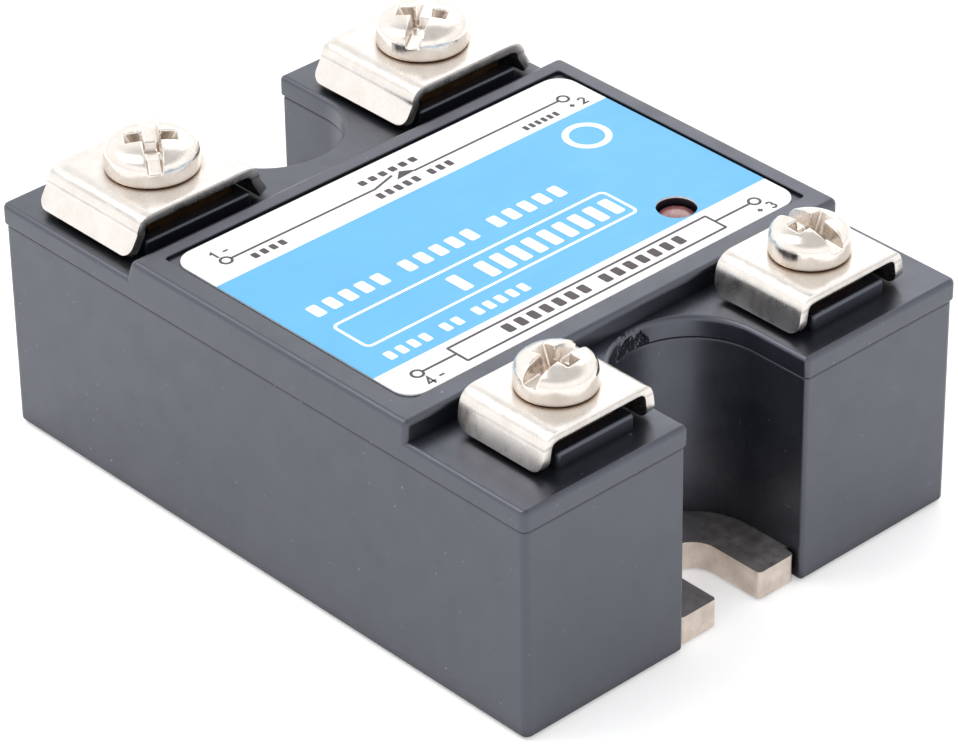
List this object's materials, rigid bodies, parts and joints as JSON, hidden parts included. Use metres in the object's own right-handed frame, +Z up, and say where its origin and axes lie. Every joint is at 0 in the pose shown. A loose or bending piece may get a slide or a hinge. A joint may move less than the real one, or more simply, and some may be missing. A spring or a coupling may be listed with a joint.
{
  "type": "solid state relay",
  "caption": "Panel-mount solid state relay: black plastic case on a metal base plate, saddle-clamp screw terminals, end notches for fixing screws, status light and label.",
  "frame": {"origin": "centre of the underside, on the face that meets the heatsink", "axes": "+X towards the control terminals, +Y towards terminals 2 and 3, +Z up from the base plate to the label"},
  "size_m": [0.0582, 0.0444, 0.026],
  "materials": {
    "base_metal": "milled, satin",
    "case_plastic": "moulded black, satin",
    "lid_plastic": "moulded black, satin",
    "label_film": "printed film, satin",
    "led_red": "dark red, clear, unlit",
    "tinned_wire": "tinned",
    "resin": "cast, glossy",
    "ceramic": "matt",
    "copper": "bare copper",
    "silicon": "polished",
    "aluminium_wire": "drawn",
    "terminal_brass": "stamped",
    "nut_steel": "zinc plated",
    "clamp_nickel": "nickel plated, satin",
    "screw_nickel": "nickel plated, bright",
    "board_green": "solder mask",
    "chip_black": "moulded",
    "capacitor_tan": "fired"
  },
  "bodies": {
    "relay": {"base_plate": "base_metal", "housing": "case_plastic", "top_cover": "lid_plastic", "label_sheet": "label_film", "indicator_led": "led_red", "led_leads": "tinned_wire", "potting_resin": "resin", "ceramic_substrate": "ceramic", "substrate_copper": "copper", "power_dies": "silicon", "bond_wires": "aluminium_wire", "output_busbar_1": "terminal_brass", "output_busbar_2": "terminal_brass", "control_terminal_3": "terminal_brass", "control_terminal_4": "terminal_brass", "output_nut_1": "nut_steel", "output_nut_2": "nut_steel", "control_nut_3": "nut_steel", "control_nut_4": "nut_steel", "control_board": "board_green", "optocoupler": "chip_black", "board_resistors": "chip_black", "board_capacitor": "capacitor_tan", "driver_transistor": "chip_black", "gate_pins": "tinned_wire"},
    "clamp_1": {"output_clamp_1": "clamp_nickel"},
    "screw_1": {"output_screw_1": "screw_nickel"},
    "clamp_2": {"output_clamp_2": "clamp_nickel"},
    "screw_2": {"output_screw_2": "screw_nickel"},
    "clamp_3": {"control_clamp_3": "clamp_nickel"},
    "screw_3": {"control_screw_3": "screw_nickel"},
    "clamp_4": {"control_clamp_4": "clamp_nickel"},
    "screw_4": {"control_screw_4": "screw_nickel"}
  },
  "joints": [
    {"name": "clamp_lift_1", "type": "slide", "parent": "relay", "child": "clamp_1", "axis": [0, 0, 1], "range_m": [0, 0.0035]},
    {"name": "screw_turn_1", "type": "hinge", "parent": "clamp_1", "child": "screw_1", "pos_m": [-0.0206, -0.0139, 0.0236], "axis": [0, 0, 1], "range_deg": [0, 1800]},
    {"name": "clamp_lift_2", "type": "slide", "parent": "relay", "child": "clamp_2", "axis": [0, 0, 1], "range_m": [0, 0.0035]},
    {"name": "screw_turn_2", "type": "hinge", "parent": "clamp_2", "child": "screw_2", "pos_m": [-0.0206, 0.0139, 0.0236], "axis": [0, 0, 1], "range_deg": [0, 1800]},
    {"name": "clamp_lift_3", "type": "slide", "parent": "relay", "child": "clamp_3", "axis": [0, 0, 1], "range_m": [0, 0.003]},
    {"name": "screw_turn_3", "type": "hinge", "parent": "clamp_3", "child": "screw_3", "pos_m": [0.0227, 0.0129, 0.0236], "axis": [0, 0, 1], "range_deg": [0, 1800]},
    {"name": "clamp_lift_4", "type": "slide", "parent": "relay", "child": "clamp_4", "axis": [0, 0, 1], "range_m": [0, 0.003]},
    {"name": "screw_turn_4", "type": "hinge", "parent": "clamp_4", "child": "screw_4", "pos_m": [0.0227, -0.0129, 0.0236], "axis": [0, 0, 1], "range_deg": [0, 1800]}
  ],
  "couplings": [
    {"joint": "screw_turn_1", "follows": "clamp_lift_1", "rad_per_m": 8976},
    {"joint": "screw_turn_2", "follows": "clamp_lift_2", "rad_per_m": 8976},
    {"joint": "screw_turn_3", "follows": "clamp_lift_3", "rad_per_m": 10472},
    {"joint": "screw_turn_4", "follows": "clamp_lift_4", "rad_per_m": 10472}
  ]
}
